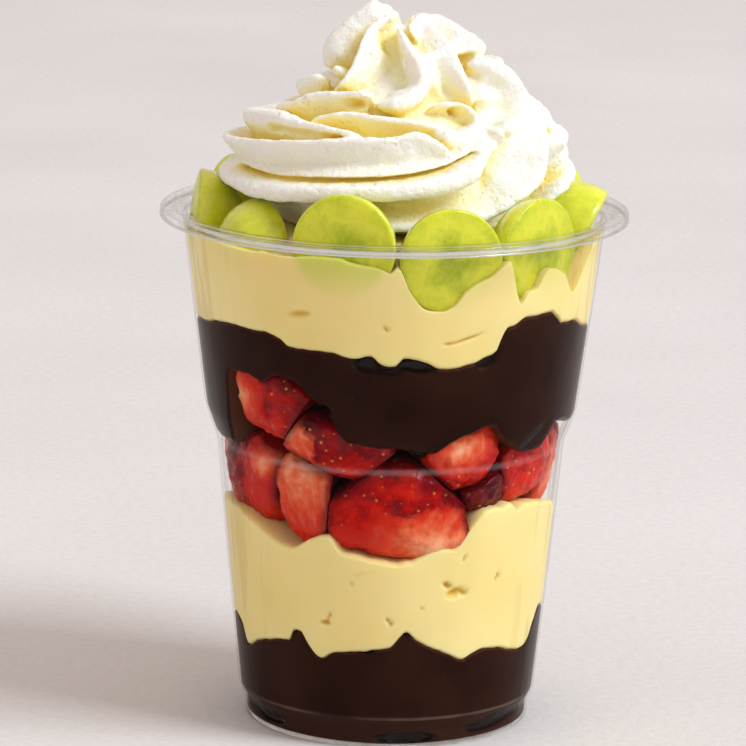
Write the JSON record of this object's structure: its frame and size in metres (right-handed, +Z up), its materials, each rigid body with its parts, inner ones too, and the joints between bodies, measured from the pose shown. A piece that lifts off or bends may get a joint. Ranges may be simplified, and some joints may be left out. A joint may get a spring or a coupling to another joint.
{
  "type": "layered cream dessert cup",
  "caption": "Clear plastic cup filled with layers of chocolate cream, custard and strawberries, ringed with halved grapes and topped with piped whipped cream.",
  "frame": {"origin": "centre of the cup's foot, on the table", "axes": "+Z up along the cup's axis, -Y towards the side that is looked at most, +X to the right of it"},
  "size_m": [0.098, 0.098, 0.1522],
  "materials": {
    "clear_plastic": "clear, thin and glossy",
    "chocolate_cream": "smooth and wet",
    "custard": "smooth, soft sheen",
    "strawberry": "wet, red with pale cut faces",
    "grape": "wet, translucent green",
    "whipped_cream": "soft, off white"
  },
  "bodies": {
    "root": {"cup": "clear_plastic", "lower_chocolate": "chocolate_cream", "lower_custard": "custard", "strawberry_01": "strawberry", "strawberry_02": "strawberry", "strawberry_03": "strawberry", "strawberry_04": "strawberry", "strawberry_05": "strawberry", "strawberry_06": "strawberry", "strawberry_07": "strawberry", "strawberry_08": "strawberry", "strawberry_09": "strawberry", "strawberry_10": "strawberry", "strawberry_11": "strawberry", "strawberry_12": "strawberry", "strawberry_13": "strawberry", "strawberry_14": "strawberry", "strawberry_15": "strawberry", "strawberry_16": "strawberry", "strawberry_17": "strawberry", "strawberry_18": "strawberry", "strawberry_19": "strawberry", "upper_chocolate": "chocolate_cream", "upper_custard": "custard", "grape_01": "grape", "grape_02": "grape", "grape_03": "grape", "grape_04": "grape", "grape_05": "grape", "grape_06": "grape", "grape_07": "grape", "grape_08": "grape", "grape_09": "grape", "grape_10": "grape", "grape_11": "grape", "whipped_cream": "whipped_cream"}
  },
  "joints": []
}
